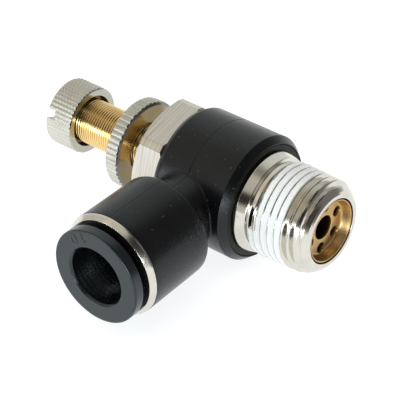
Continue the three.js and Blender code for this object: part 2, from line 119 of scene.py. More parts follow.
def rounded(outline, closed=True, steps=5):
    """Points of an outline of (station, radius, fillet) with its corners turned into arcs."""
    points = []
    count = len(outline)
    for i, corner in enumerate(outline):
        here = np.array(corner[:2], float)
        fillet = corner[2] if len(corner) > 2 else 0
        if not fillet or (not closed and i in (0, count - 1)):
            points.append(here)
            continue
        back = np.array(outline[i - 1][:2], float) - here
        ahead = np.array(outline[(i + 1) % count][:2], float) - here
        back_length, ahead_length = np.linalg.norm(back), np.linalg.norm(ahead)
        back, ahead = back / back_length, ahead / ahead_length
        half = math.acos(np.clip(back @ ahead, -1, 1)) / 2
        cut = min(fillet / math.tan(half), 0.49 * back_length, 0.49 * ahead_length)
        radius = cut * math.tan(half)
        middle = back + ahead
        centre = here + middle / np.linalg.norm(middle) * radius / math.sin(half)
        first, last = here + back * cut - centre, here + ahead * cut - centre
        start = math.atan2(first[1], first[0])
        turn = (math.atan2(last[1], last[0]) - start + math.pi) % TURN - math.pi
        for k in range(steps + 1):
            angle = start + turn * k / steps
            points.append(centre + radius * np.array([math.cos(angle), math.sin(angle)]))
    return np.array(points)


def divided(points, step, closed=True):
    """The same outline with its long stretches cut into steps."""
    result = []
    ends = len(points) if closed else len(points) - 1
    for i in range(ends):
        here, ahead = points[i], points[(i + 1) % len(points)]
        pieces = max(1, math.ceil(np.linalg.norm(ahead - here) / step))
        for k in range(pieces):
            result.append(here + (ahead - here) * k / pieces)
    if not closed:
        result.append(points[-1])
    return np.array(result)


def around(axis, stations, radii, angles):
    """Points at stations and radii about an axis. About X, angles run from +Z towards -Y; about Y,
    from +X towards +Z."""
    stations, radii, angles = np.broadcast_arrays(stations, radii, angles)
    side, up = radii * np.sin(angles), radii * np.cos(angles)
    if axis == "x":
        return np.stack([stations, -side, up], axis=-1)
    return np.stack([up, stations, side], axis=-1)


def skin(rows, closed=True):
    """Points and faces of a skin through rows of points that each go once round. A closed skin
    joins its last row to its first; an open one gets a fan over each end."""
    count, columns = rows.shape[:2]
    index = np.arange(count * columns).reshape(count, columns)
    near = index if closed else index[:-1]
    far = np.roll(index, -1, axis=0) if closed else index[1:]
    quads = np.stack([near, np.roll(near, -1, axis=1), np.roll(far, -1, axis=1), far], axis=-1)
    faces = quads.reshape(-1, 4).tolist()
    points = rows.reshape(-1, 3)
    if not closed:
        points = np.vstack([points, rows[0].mean(axis=0), rows[-1].mean(axis=0)])
        first, last = len(points) - 2, len(points) - 1
        for column in range(columns):
            right = (column + 1) % columns
            faces.append([index[0, right], index[0, column], first])
            faces.append([index[-1, column], index[-1, right], last])
    return points, faces


def revolved(axis, outline, columns, shape=None, closed=True):
    """A turned skin. shape(stations, radii, angles) may change the radii, for teeth and threads."""
    angles = TURN * np.arange(columns) / columns
    stations, radii = outline[:, :1], outline[:, 1:]
    if shape:
        radii = shape(stations, radii, angles[None, :])
    return skin(around(axis, stations, radii, angles[None, :]), closed)


def swept(axis, outline, start, end, columns):
    """Part of a turned ring between two angles in degrees, closed by its two end sections."""
    angles = np.radians(np.linspace(start, end, columns))
    rows = around(axis, outline[None, :, 0], outline[None, :, 1], angles[:, None])
    return skin(rows, closed=False)


def to_frame(points):
    return np.asarray(points) * MM + ORIGIN


def spun(points, axis, angle):
    """Points turned about an axis through the origin."""
    return points @ np.array(Matrix.Rotation(angle, 3, axis)).T


def placed(name, data):
    """A new object in the scene."""
    obj = bpy.data.objects.new(name, data)
    bpy.context.scene.collection.objects.link(obj)
    return obj


def mesh_object(name, *shells, sharp=SHARP_ANGLE):
    """One mesh object from closed shells, each facing out, smooth but for edges over an angle."""
    vertices, faces = [], []
    for points, polygons in shells:
        points = np.asarray(points)
        start = sum(len(group) for group in vertices)
        triangles = np.array(
            [(p[0], p[k], p[k + 1]) for p in polygons for k in range(1, len(p) - 1)])
        a, b, c = (points[triangles[:, k]] for k in range(3))
        inside_out = np.einsum("ij,ij->", a, np.cross(b, c)) < 0
        for polygon in polygons:
            corners = [start + corner for corner in polygon]
            faces.append(corners[::-1] if inside_out else corners)
        vertices.append(points)
    mesh = bpy.data.meshes.new(name)
    mesh.from_pydata(to_frame(np.vstack(vertices)).tolist(), [], faces)
    mesh.shade_smooth()
    mesh.set_sharp_from_angle(angle=math.radians(sharp))
    return placed(name, mesh)


def carved(target, cutter):
    """Cuts one object out of another and renews the shading of what is left."""
    modifier = target.modifiers.new("cut", "BOOLEAN")
    modifier.operation = "DIFFERENCE"
    modifier.object = cutter
    modifier.solver = "EXACT"
    bpy.context.view_layer.update()
    evaluated = target.evaluated_get(bpy.context.evaluated_depsgraph_get())
    mesh = bpy.data.meshes.new_from_object(evaluated)
    target.modifiers.clear()
    old = target.data
    target.data = mesh
    bpy.data.meshes.remove(old)
    bpy.data.objects.remove(cutter)
    mesh.shade_smooth()
    mesh.set_sharp_from_angle(angle=math.radians(SHARP_ANGLE))
    return target


def dress(obj, material, body, slot, *nodes):
    """Gives a piece its material and its body and hides the CAD nodes it stands for. The slot
    argument is not used.
    """
    obj.data.materials.clear()
    obj.data.materials.append(material)
    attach(obj, body)
    if nodes:
        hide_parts(*nodes)
    return obj


# ---- Materials --------------------------------------------------------------------------------


class Nodes:
    """A node tree, with short calls that add nodes and link them."""

    def __init__(self, tree):
        self.tree = tree

    def link(self, socket, value):
        if hasattr(value, "is_output"):
            self.tree.links.new(value, socket)
        else:
            socket.default_value = value

    def vector(self, operation, first, second=None, scale=None):
        node = self.tree.nodes.new("ShaderNodeVectorMath")
        node.operation = operation
        self.link(node.inputs[0], first)
        if second is not None:
            self.link(node.inputs[1], second)
        if scale is not None:
            node.inputs["Scale"].default_value = scale
        return node.outputs["Value" if operation in ("LENGTH", "DOT_PRODUCT") else "Vector"]

    def maths(self, operation, first, second=0.0):
        node = self.tree.nodes.new("ShaderNodeMath")
        node.operation = operation
        self.link(node.inputs[0], first)
        self.link(node.inputs[1], second)
        return node.outputs[0]

    def times(self, first, second):
        return self.maths("MULTIPLY", first, second)

    def spread(self, value, low=0.0, high=1.0, from_low=0.3, from_high=0.7, curve="LINEAR"):
        """A value that runs over one span, such as that of noise, stretched to run over another."""
        node = self.tree.nodes.new("ShaderNodeMapRange")
        node.interpolation_type = curve
        self.link(node.inputs["Value"], value)
        node.inputs["From Min"].default_value = from_low
        node.inputs["From Max"].default_value = from_high
        node.inputs["To Min"].default_value = low
        node.inputs["To Max"].default_value = high
        return node.outputs["Result"]

    def blend(self, factor, first, second):
        node = self.tree.nodes.new("ShaderNodeMix")
        node.data_type = "RGBA"
        self.link(node.inputs["Factor"], factor)
        for socket, colour in ((node.inputs["A"], first), (node.inputs["B"], second)):
            self.link(socket, colour if hasattr(colour, "is_output") else (*colour, 1))
        return node.outputs["Result"]


class Surface(Nodes):
    """A procedural material, with lengths in millimetres."""

    def __init__(self, name, colour, roughness, **sockets):
        self.material = bpy.data.materials.new(name)
        self.material.use_nodes = True
        self.tree = self.material.node_tree
        self.shader = self.tree.nodes["Principled BSDF"]
        self.shader.inputs["Base Color"].default_value = (*colour, 1)
        self.shader.inputs["Roughness"].default_value = roughness
        for socket, value in sockets.items():
            self.shader.inputs[socket.replace("_", " ")].default_value = value
        self.coordinates = self.tree.nodes.new("ShaderNodeTexCoord")
        self.place = self.vector("SCALE", self.coordinates.outputs["Object"], scale=1 / MM)
        self.height = None

    def noise(self, per_mm, detail=2.0, place=None):
        node = self.tree.nodes.new("ShaderNodeTexNoise")
        self.link(node.inputs["Vector"], place or self.place)
        node.inputs["Scale"].default_value = per_mm
        node.inputs["Detail"].default_value = detail
        return node.outputs[0]

    def specks(self, per_mm, size):
        """Small dots scattered over the surface; size is a share of their spacing."""
        node = self.tree.nodes.new("ShaderNodeTexVoronoi")
        self.link(node.inputs["Vector"], self.place)
        node.inputs["Scale"].default_value = per_mm
        chosen = self.tree.nodes.new("ShaderNodeSeparateColor")
        self.link(chosen.inputs[0], node.outputs["Color"])
        reach = self.times(self.maths("POWER", chosen.outputs[0], 4.0), size)
        return self.maths("LESS_THAN", node.outputs["Distance"], reach)

    def from_axis(self, axis="x"):
        """Distance from the valve axis or the port axis."""
        across = (0, 1, 1) if axis == "x" else (1, 0, 1)
        return self.vector("LENGTH", self.vector("MULTIPLY", self.centred(), across))

    def lean(self):
        """How far the surface faces +X: 1 on end faces, less on their bevels, 0 on walls."""
        return self.vector("DOT_PRODUCT", self.coordinates.outputs["Normal"], (1.0, 0.0, 0.0))

    def turning(self, per_mm, axis="x"):
        """Marks left by turning: rings round the axis on both walls and end faces."""
        along = (1, 0, 0) if axis == "x" else (0, 1, 0)
        joined = self.tree.nodes.new("ShaderNodeCombineXYZ")
        self.link(joined.inputs[0], self.from_axis(axis))
        self.link(joined.inputs[1], self.vector("DOT_PRODUCT", self.place, along))
        return self.noise(per_mm, 3.0, joined.outputs[0])

    def centred(self):
        """Position from the crossing of the two axes."""
        return self.vector("SUBTRACT", self.place, tuple(ORIGIN / MM))

    def station(self):
        """Position along the valve axis."""
        return self.vector("DOT_PRODUCT", self.centred(), (1.0, 0.0, 0.0))

    def colour(self, value):
        self.link(self.shader.inputs["Base Color"], value)

    def roughness(self, value):
        self.link(self.shader.inputs["Roughness"], value)

    def bump(self, value, depth):
        """Adds relief of a depth in millimetres."""
        node = self.tree.nodes.new("ShaderNodeBump")
        node.inputs["Distance"].default_value = depth * MM
        self.link(node.inputs["Height"], value)
        if self.height:
            self.link(node.inputs["Normal"], self.height)
        self.height = node.outputs["Normal"]
        self.link(self.shader.inputs["Normal"], self.height)


NICKEL_DULL, NICKEL_BRIGHT = (0.65, 0.625, 0.56), (0.73, 0.71, 0.65)
POLISHED = 0.13
# painted dark reflection: the default tone of a polished bevel where the knurl runs out
DARK_BEVEL_PAINTED_REFLECTION = (0.20, 0.20, 0.19)
# painted shade, dark brown, laid in the knob's recess
RECESS_PAINTED_SHADE = (0.13, 0.075, 0.04)
# painted shade, brown, laid in the roots of the needle's thread
THREAD_ROOT_PAINTED_SHADE = (0.70, 0.40, 0.13)
# painted shade, dark brown, laid below the insert's floor and in its holes
SHADED_BRASS = (0.15, 0.09, 0.04)
DUST = (0.11, 0.105, 0.09)


def nickel(name, roughness, marks=0.002, grain=0.0, axis="x", mirror=None, edge=DARK_BEVEL_PAINTED_REFLECTION,
           painted_shade_within=0.0, shade=1.0):
    """Nickel plate: a warm silver with turning marks, faint stains and, on rolled or milled parts,
    a grain. End faces can be polished, with a bevel in a tone of its own where the knurl runs out,
    by default dark as a painted dark reflection, and the knob's recess is painted dark brown
    within a radius as painted shade."""
    surface = Surface(name, (0.66, 0.63, 0.56), roughness, Metallic=1.0)
    cloud = surface.spread(surface.noise(0.35, 4.0))
    dull, bright = (tuple(part * shade for part in tone) for tone in (NICKEL_DULL, NICKEL_BRIGHT))
    tone = surface.blend(cloud, dull, bright)
    turning = surface.turning(14.0, axis)
    gloss = surface.spread(turning, 0.8 * roughness, 1.35 * roughness)
    walls = 1.0
    if mirror:
        lean = surface.lean()
        face = surface.maths("GREATER_THAN", lean, 0.97)
        walls = surface.maths("LESS_THAN", lean, 0.5)
        bevel = surface.maths("SUBTRACT", surface.maths("SUBTRACT", 1.0, walls), face)
        # the bevel gets its own tone, by default a painted dark reflection
        tone = surface.blend(face, surface.blend(bevel, tone, edge), mirror)
        polish = surface.times(surface.maths("SUBTRACT", 1.0, walls), POLISHED)
        gloss = surface.maths("ADD", surface.times(gloss, walls), polish)
        marks *= 0.5
    if painted_shade_within:
        # painted shade: the knob's recess, within a radius, turned dark brown
        station = surface.station()
        near = surface.maths("LESS_THAN", surface.from_axis(axis), painted_shade_within)
        recess = surface.times(near, surface.maths("GREATER_THAN", station, KNOB_FACE - 3))
        tone = surface.blend(recess, tone, RECESS_PAINTED_SHADE)
    surface.colour(tone)
    surface.roughness(gloss)
    surface.bump(turning, marks)
    if grain:
        surface.bump(surface.times(surface.noise(5.0, 3.0), walls), grain)
    return surface.material


def milled_nickel():
    """Nickel plate over a milled hexagon: lines across the flats, one beside the other."""
    surface = Surface("nickel_milled", (0.66, 0.62, 0.56), 0.3, Metallic=1.0)
    sweep = surface.vector("MULTIPLY", surface.centred(), (1.0, 0.03, 0.03))
    lines = surface.noise(3.4, 2.0, sweep)
    streaks = surface.spread(lines, 0.0, 1.0, 0.36, 0.64)
    surface.colour(surface.blend(streaks, (0.57, 0.54, 0.485), (0.72, 0.69, 0.63)))
    surface.roughness(surface.spread(surface.noise(3.0, 4.0), 0.11, 0.20))
    surface.bump(lines, 0.045)
    surface.bump(surface.noise(5.0, 3.0), 0.010)
    return surface.material


def brass(name, roughness, bright, dull, shaded_below=None, roots=None):
    """Bare turned brass with faint tarnish. Below a station on the valve axis it can be painted
    dark, as painted shade in the insert's holes, and where the radius is near that of the thread's
    roots it is painted brown, as painted shade in the thread's grooves."""
    surface = Surface(name, bright, roughness, Metallic=1.0)
    tarnish = surface.spread(surface.noise(0.6, 4.0))
    tone = surface.blend(tarnish, bright, dull)
    if shaded_below is not None:
        # painted shade below a station, in the insert's holes
        station = surface.station()
        depth = surface.spread(station, 1.0, 0.0, shaded_below - 0.5, shaded_below)
        tone = surface.blend(depth, tone, SHADED_BRASS)
    if roots:
        radius = surface.from_axis()
        groove = surface.spread(radius, 1.0, 0.0, roots[0], roots[1])
        below = surface.maths("GREATER_THAN", radius, roots[0] - 0.1)
        # painted shade in the thread's roots
        tone = surface.blend(surface.times(groove, below), tone, THREAD_ROOT_PAINTED_SHADE)
    surface.colour(tone)
    turning = surface.turning(14.0)
    surface.roughness(surface.spread(turning, 0.8 * roughness, 1.5 * roughness))
    surface.bump(turning, 0.002)
    return surface.material


def plastic(name, dark, light, roughness, sheen, tint, grain, dust):
    """Moulded black plastic: a fine even grain, a slight sheen that varies, and specks of dust."""
    surface = Surface(name, dark, roughness, Specular_IOR_Level=sheen, Specular_Tint=(*tint, 1.0))
    base = surface.blend(surface.spread(surface.noise(0.3, 3.0)), dark, light)
    if dust:
        base = surface.blend(surface.specks(1.7, 0.17), base, DUST)
    surface.colour(base)
    fine = surface.noise(6.0, 3.0)
    surface.roughness(surface.spread(fine, 0.8 * roughness, 1.2 * roughness))
    surface.bump(fine, grain)
    surface.bump(surface.noise(0.7, 2.0), 0.01)
    return surface.material


def rubber():
    surface = Surface("rubber", (0.012, 0.012, 0.012), 0.65)
    bloom = surface.spread(surface.noise(2.0, 3.0))
    surface.colour(surface.blend(bloom, (0.010, 0.010, 0.010), (0.022, 0.022, 0.021)))
    surface.bump(surface.noise(12.0, 2.0), 0.004)
    return surface.material


def spring_steel():
    surface = Surface("spring_steel", (0.62, 0.61, 0.58), 0.25, Metallic=1.0)
    rolled = surface.noise(6.0, 3.0)
    surface.colour(surface.blend(surface.spread(rolled), (0.55, 0.54, 0.50), (0.68, 0.67, 0.64)))
    surface.roughness(surface.spread(rolled, 0.2, 0.4))
    surface.bump(rolled, 0.003)
    return surface.material


def sealant_coat():
    """Dried white thread sealant: smooth to the eye, with faint streaks along the thread."""
    surface = Surface("thread_sealant_coat", (0.90, 0.93, 0.95), 0.5, Subsurface_Weight=0.1)
    surface.shader.inputs["Subsurface Radius"].default_value = (0.6 * MM, 0.6 * MM, 0.6 * MM)
    cloud = surface.spread(surface.noise(0.8, 4.0))
    white = surface.blend(cloud, (0.87, 0.91, 0.94), (0.93, 0.95, 0.96))
    surface.colour(surface.blend(surface.specks(0.7, 0.09), white, (0.22, 0.23, 0.22)))
    surface.bump(surface.turning(5.0), 0.012)
    surface.bump(surface.noise(3.0, 3.0), 0.012)
    return surface.material


NICKEL_KNURL = nickel("nickel_knurled", 0.52, grain=0.010, mirror=(0.47, 0.45, 0.39),
                      edge=(0.52, 0.51, 0.47), painted_shade_within=RECESS_RADIUS + 0.05, shade=0.95)
NICKEL_NUT = nickel("nickel_nut", 0.50, grain=0.008, mirror=(0.38, 0.31, 0.20), shade=0.90)
NICKEL_THREAD = nickel("nickel_threaded", 0.11, grain=0.007)
NICKEL_RING = nickel("nickel_ring", 0.15, axis="y")
NICKEL_HEX = milled_nickel()
BRASS = brass("brass_turned", 0.17, (0.93, 0.71, 0.33), (0.86, 0.61, 0.26), roots=(3.82, 3.88))
BRASS_INSERT = brass("brass_insert", 0.30, (0.60, 0.41, 0.19), (0.46, 0.29, 0.12),
                     shaded_below=INSERT_FLOOR - 0.1)
BODY_PLASTIC = plastic("body_plastic", (0.0025, 0.0025, 0.003), (0.004, 0.004, 0.0045), 0.29, 0.40,
                       (0.88, 0.94, 1.0), 0.017, True)
SLEEVE_PLASTIC = plastic("sleeve_plastic", (0.003, 0.004, 0.005), (0.005, 0.006, 0.007), 0.26, 0.68,
                         (0.80, 0.95, 1.0), 0.0015, False)
INNER_PLASTIC = plastic("inner_plastic", (0.003, 0.003, 0.003), (0.006, 0.0055, 0.005), 0.5, 0.3,
                        (1.0, 1.0, 1.0), 0.012, True)
RUBBER = rubber()
STEEL = spring_steel()
SEALANT = sealant_coat()

# ---- Pieces on the valve axis -----------------------------------------------------------------


def wave(turns):
    """A smooth wave of one period per turn, 0 at whole turns and 1 half way."""
    return 0.5 - 0.5 * np.cos(TURN * turns)


def knob():
    """Knurled knob: 48 teeth crossed by a shallow beading, a screwdriver slot, a recessed face."""
    teeth, depth = 48, 0.15
    outline = rounded([
        (KNOB_END, 0.02),
        (KNOB_END, KNOB_RADIUS, 0.35),
        (KNOB_FACE - 0.22, KNOB_RADIUS),
        (KNOB_FACE, KNOB_RADIUS - 0.28, 0.03),
        (KNOB_FACE, RECESS_RADIUS, 0.1),
        (KNOB_FACE - 0.9, RECESS_RADIUS),
        (KNOB_FACE - 0.9, 3.4),
        (KNOB_END + 2, 3.4),
        (KNOB_END + 2, 0.02),
    ], closed=False)

    def knurl(stations, radii, angles):
        tooth = teeth * angles / TURN
        groove = wave(tooth + 0.5) ** 0.8
        bead = np.cos(TURN * (stations / 0.67 + 0.37 * np.floor(tooth + 0.5)))
        crest = KNOB_RADIUS - depth * (1 - groove) - 0.055 * (1 - bead) * groove
        return np.where(radii > 5, np.minimum(radii, crest), radii)

    body = revolved("x", divided(outline, 0.11, closed=False), 8 * teeth, knurl, closed=False)
    obj = carved(mesh_object("knurled_knob", body), slot_cutter())
    return dress(obj, NICKEL_KNURL, "needle_screw", "nickel_plate", "adjusting_knob")


def slot_cutter():
    """The shape of the knob's slot, wider at the mouth so that its edges come out broken."""
    half, depth, flare, reach = 0.85, 1.6, 0.12, 8.0
    section = [(-1, half + flare), (flare * 0.6, half + flare * 0.6), (0.3, half), (depth, half)]
    section += [(x, -y) for x, y in reversed(section)]
    rows = np.array([[(KNOB_END + x, y, z) for x, y in section] for z in (-reach, reach)])
    points, faces = skin(rows, closed=False)
    return mesh_object("slot_cutter", (spun(points, "X", math.radians(SLOT_ANGLE)), faces))


def lock_nut():
    """Lock nut with 48 coarse teeth and a polished face."""
    teeth, depth = 48, 0.18
    outline = rounded([
        (NUT_BACK, 4.65),
        (NUT_BACK, NUT_RADIUS - 0.45, 0.05),
        (NUT_BACK + 0.35, NUT_RADIUS),
        (NUT_FACE - 0.4, NUT_RADIUS),
        (NUT_FACE, NUT_RADIUS - 0.55, 0.03),
        (NUT_FACE, 4.65, 0.05),
        (NUT_FACE - 0.5, 4.12),
        (NUT_BACK + 0.5, 4.12),
    ])

    def knurl(stations, radii, angles):
        tooth = teeth * angles / TURN
        uneven = 0.04 * np.sin(2.3 * np.floor(tooth)) * np.sin(stations * 1.1 + np.floor(tooth))
        crest = NUT_RADIUS - depth * (1 - np.abs(np.sin(math.pi * tooth)) ** 0.5) - 0.04 - uneven
        return np.where(radii > 6, np.minimum(radii, crest), radii)

    body = revolved("x", divided(outline, 0.12), 8 * teeth, knurl)
    return dress(mesh_object("lock_nut_knurled", body, sharp=25), NICKEL_NUT, "nut", "nickel_plate",
                 "lock_nut")


def needle():
    """Brass needle with its fine thread, seal groove and taper."""
    thread_start, thread_end = KNOB_FACE - 0.6, -8.4
    outline = rounded([
        (NEEDLE_START, 0.02),
        (NEEDLE_START, 3.3),
        (KNOB_FACE - 0.8, 3.3),
        (KNOB_FACE - 0.8, NEEDLE_RADIUS, 0.15),
        (-8.2, NEEDLE_RADIUS),
        (-8.2, 4.4, 0.05),
        (-7.9, 4.4, 0.05),
        (-7.9, 3.35),
        (-6.3, 3.35),
        (-6.3, 4.4, 0.05),
        (-5.3, 4.4, 0.1),
        (-4.9, 2.6),
        (0.2, 2.6, 0.05),
        (0.2, 2.0),
        (NEEDLE_TIP, 0.8, 0.2),
        (NEEDLE_TIP, 0.02),
    ], closed=False)

    def thread(stations, radii, angles):
        turn = stations / FINE_PITCH - angles / TURN
        entry = np.clip((stations - thread_start) / 0.4, 0, 1)
        groove = 0.12 * wave(turn) * entry * np.clip((thread_end - stations) / 0.4, 0, 1)
        return np.where(np.abs(radii - NEEDLE_RADIUS) < 0.01, radii - groove, radii)

    body = revolved("x", divided(outline, 0.05, closed=False), 96, thread, closed=False)
    return dress(mesh_object("needle_fine_thread", body, sharp=50), BRASS, "needle_screw", "brass",
                 "needle")


def crest_radius(stations):
    """Radius of the taper thread's crests."""
    return GAUGE_RADIUS - (stations - (THREAD_END - GAUGE_LENGTH)) * TAPER


def thread_turn(stations, angles):
    """Turns of the taper thread counted along its helix: whole numbers are on a crest."""
    return (stations - CREST_STATION) / PITCH - (angles - math.radians(CREST_ANGLE)) / TURN


def whitworth(turns):
    """Depth below the crest of a 55 degree thread with round crests and roots."""
    sharp_depth = 0.9605 * PITCH
    grid = np.arange(512) / 512
    from_crest = np.minimum(grid, 1 - grid)
    flank = np.clip(2 * sharp_depth * from_crest - sharp_depth / 6, -0.05, THREAD_DEPTH + 0.05)
    kernel = np.exp(-0.5 * (from_crest / 0.035) ** 2)
    soft = np.real(np.fft.ifft(np.fft.fft(flank) * np.fft.fft(kernel / kernel.sum())))
    soft -= soft.min()
    return np.interp(turns % 1.0, np.append(grid, 1.0), np.append(soft, soft[0]))


def hexagon(angles):
    """Distance from the axis to the hexagon's flats."""
    step = math.pi / 3
    offset = (angles - math.radians(HEX_CORNER_ANGLE)) % step - step / 2
    return HEX_ACROSS_FLATS / 2 / np.cos(offset)


def soft_min(first, second, blend):
    """The smaller of two lengths, with the crossing rounded over a blend width."""
    gap = np.clip(0.5 + 0.5 * (second - first) / blend, 0, 1)
    return second + (first - second) * gap - blend * gap * (1 - gap)


def stem():
    """Stem in three closed pieces: hexagon and shank, waist with cross holes, threaded end."""
    hex_back = BARREL_START - 0.12
    corner, rim, chamfer = HEX_CORNER_RADIUS, 9.35, 0.72
    head = rounded([
        (HEX_END, 4.35, 0.05),
        (HEX_END, rim),
        (HEX_END + chamfer, corner),
        (hex_back - 0.25, corner),
        (hex_back, corner - 0.25, 0.08),
        (hex_back, 8.7),
        (-5.75, 8.7),
        (-5.75, 7.1),
        (-3.95, 7.1),
        (-3.95, 8.7, 0.05),
        (-2.6, 8.7, 0.05),
        (-2.6, 4.6),
        (-8.5, 4.6),
        (-8.5, 4.15),
        (HEX_END + 0.15, 4.15),
    ])

    columns = 360  # one a degree, turned by a part of a degree so that they meet the corners
    offset = math.radians(HEX_CORNER_ANGLE % 1.0)

    def flats(stations, radii, angles):
        across = soft_min(hexagon(angles + offset), corner, 0.03)
        cone = np.minimum(radii, rim + (stations - HEX_END) * (corner - rim) / chamfer)
        shaped = soft_min(across, cone, 0.05)
        return np.where((radii > 9.2) & (stations <= hex_back), np.minimum(shaped, radii), radii)

    points, faces = revolved("x", divided(head, 0.12), columns, flats)
    head_obj = mesh_object("stem_hexagon", (spun(points, "X", offset), faces), sharp=14)
    dress(head_obj, NICKEL_HEX, "stem", "nickel_plate", "stem_body")

    waist = rounded([(-2.8, 5.45), (-2.8, 6.4), (3.6, 6.4), (3.6, 5.45)])
    waist_obj = mesh_object("stem_waist", revolved("x", divided(waist, 0.8), 96))
    for port in range(6):
        waist_obj = carved(waist_obj, radial_cutter(0.4, 60 * port + 30, 1.9, 3.0, 9.0))
    dress(waist_obj, NICKEL_THREAD, "stem", "nickel_plate")

    front = rounded([
        (3.4, 5.47),
        (3.4, 8.7, 0.05),
        (4.55, 8.7, 0.05),
        (4.55, 7.1),
        (6.35, 7.1),
        (6.35, 8.7, 0.05),
        (7.6, 8.7),
        (7.6, 8.1),
        (9.0, 8.1),
        (9.0, 8.75, 0.1),
        (9.35, 8.84, 0.4),
        (11.0, 8.34, 0.15),
        (11.3, 7.75, 0.2),
        (12.1, 7.75, 0.2),
        (12.8, crest_radius(12.8), 0.1),
        (20.45, crest_radius(20.45), 0.1),
        (21.8, 7.38, 0.25),
        (22.35, 6.85, 0.2),
        (THREAD_END, 6.45, 0.12),
        (THREAD_END, 5.74, 0.1),
        (17.55, 5.74),
        (17.55, 5.45),
    ])

    def taper_thread(stations, radii, angles):
        groove = whitworth(thread_turn(stations, angles))
        start = np.clip((stations - 11.9) / 0.7, 0, 1)
        threaded = crest_radius(stations) - groove * start
        inside = (stations > 11.5) & (stations < 22.2) & (radii > 7.0)
        return np.where(inside, soft_min(radii, threaded, 0.05), radii)

    front_obj = mesh_object(
        "stem_taper_thread", revolved("x", divided(front, 0.055), columns, taper_thread), sharp=45)
    dress(front_obj, NICKEL_THREAD, "stem", "nickel_plate")


def radial_cutter(station, degrees, radius, near, far):
    """A round bar across the valve axis, from one distance to another."""
    outline = np.array([(near, 0.02), (near, radius), (far, radius), (far, 0.02)])
    points, faces = revolved("x", outline, 48, closed=False)
    points = spun(spun(points, "Y", math.radians(-90)), "X", math.radians(degrees))
    return mesh_object("radial_cutter", (points + [station, 0, 0], faces))


def sealant():
    """White sealant lying in the middle valleys of the thread, a little below the crests. It runs
    along the helix from one angle about the valve axis to another."""
    outline = divided(rounded([(11.6, 7.2), (11.6, 8.6), (19.0, 8.6), (19.0, 7.2)]), 0.055)
    first, last = math.radians(85), math.radians(250)
    crest = math.radians(CREST_ANGLE)
    buried = 7.3  # where the coat has run out, it ends inside the thread

    def fill(stations, radii, angles):
        turn = thread_turn(stations, angles)
        start_turn = (angles - first) % TURN + first - crest
        start = CREST_STATION + PITCH * (start_turn / TURN - 2) + 0.16
        end_turn = (angles - last) % TURN - (TURN - last + crest)
        end = CREST_STATION + PITCH * (end_turn / TURN + 3) - 0.1
        ragged = 0.05 * np.sin(9 * angles) + 0.04 * np.sin(23 * angles + 1)
        entry = np.clip((stations - start - ragged) / 0.15, 0, 1)
        covered = entry * np.clip((end - stations) / 0.15, 0, 1)
        sag = 0.06 * wave(turn) ** 0.6
        lumps = 0.012 * np.sin(5 * angles + 3 * stations)
        lumps = lumps + 0.01 * np.sin(17 * angles - 5 * stations)
        level = crest_radius(stations) - 0.085 - sag - lumps
        return np.where(radii > 7.4, buried + (level - buried) * covered, radii)

    body = revolved("x", outline, 360, fill)
    return dress(mesh_object("sealant_coat", body, sharp=60), SEALANT, "stem", "sealant",
                 "thread_sealant")


def flow_insert():
    """Brass insert: dished mouth, centre hole, six holes round it, and the seat tube behind."""
    back, hole_circle = 17.9, 3.72
    outline = rounded([
        (INSERT_START, 2.1, 0.05),
        (INSERT_START, 3.3, 0.1),
        (13.3, 3.3, 0.05),
        (13.3, 2.75),
        (back, 2.75),
        (back, 5.5, 0.1),
        (INSERT_RIM, 5.5, 0.06),
        (INSERT_RIM, 5.28, 0.1),
        (INSERT_FLOOR, 4.75, 0.45),
        (INSERT_FLOOR, 2.1, 0.08),
    ])
    obj = mesh_object("flow_insert_dished", revolved("x", divided(outline, 0.6), 144))
    drill = np.array([(back - 1, 0.02), (back - 1, 0.92), (INSERT_FLOOR - 0.06, 0.92),
                      (INSERT_FLOOR + 0.5, 1.2), (INSERT_FLOOR + 0.5, 0.02)])
    points, faces = revolved("x", drill, 40, closed=False)
    for hole in range(6):
        offset = around("x", 0.0, hole_circle, math.radians(INSERT_HOLE_ANGLE + 60 * hole))
        obj = carved(obj, mesh_object("insert_drill", (points + offset, faces)))
    return dress(obj, BRASS_INSERT, "stem", "brass", "flow_insert")


def retaining_ring():
    """Split black ring that holds the body on the stem."""
    start, end = span("retaining_ring", "x")
    section = rounded([(start, 8.25), (start, 9.8), (end, 9.8, 0.12), (end, 8.25, 0.12)])
    obj = mesh_object("retaining_ring_split", swept("x", section, 224, 576, 180))
    return dress(obj, INNER_PLASTIC, "stem", "black_plastic", "retaining_ring")


def o_ring(name, node, centre_radius, section, body):
    middle = sum(span(node, "x")) / 2
    angles = np.radians(np.arange(0, 360, 15))
    ring = np.stack([np.cos(angles), np.sin(angles)], axis=-1)
    outline = [middle, centre_radius] + section * ring
    obj = mesh_object(name, revolved("x", outline, 96))
    return dress(obj, RUBBER, body, "rubber", node)


def check_seal():
    """Rubber lip seal round the insert's tube."""
    outline = rounded([
        (13.6, 2.9), (13.6, 4.7, 0.1), (13.8, 4.95), (16.9, 5.3, 0.06), (16.9, 5.05, 0.06),
        (14.8, 4.65, 0.2), (14.8, 3.5, 0.2), (17.6, 3.3, 0.1), (17.6, 2.9),
    ])
    obj = mesh_object("check_seal_lip", revolved("x", outline, 96))
    return dress(obj, RUBBER, "stem", "rubber", "check_seal")


# ---- Pieces on the port axis ------------------------------------------------------------------

BARREL_OUTLINE = rounded([
    (BARREL_START, 10.45),
    (-5.85, 10.9, 0.15),
    (7.6, BARREL_RADIUS, 0.18),
    (BARREL_END, 10.05, 0.12),
    (BARREL_END, 9.9),
], closed=False)
NECK_RADIUS = 6.3
PASSAGE_RADIUS = 3.8
BORE_RADIUS = 8.95
SEAM_HEIGHT = -0.045
SEAM_HALF_WIDTH = 0.09


def barrel_surface(stations):
    return np.interp(stations, BARREL_OUTLINE[:, 0], BARREL_OUTLINE[:, 1])


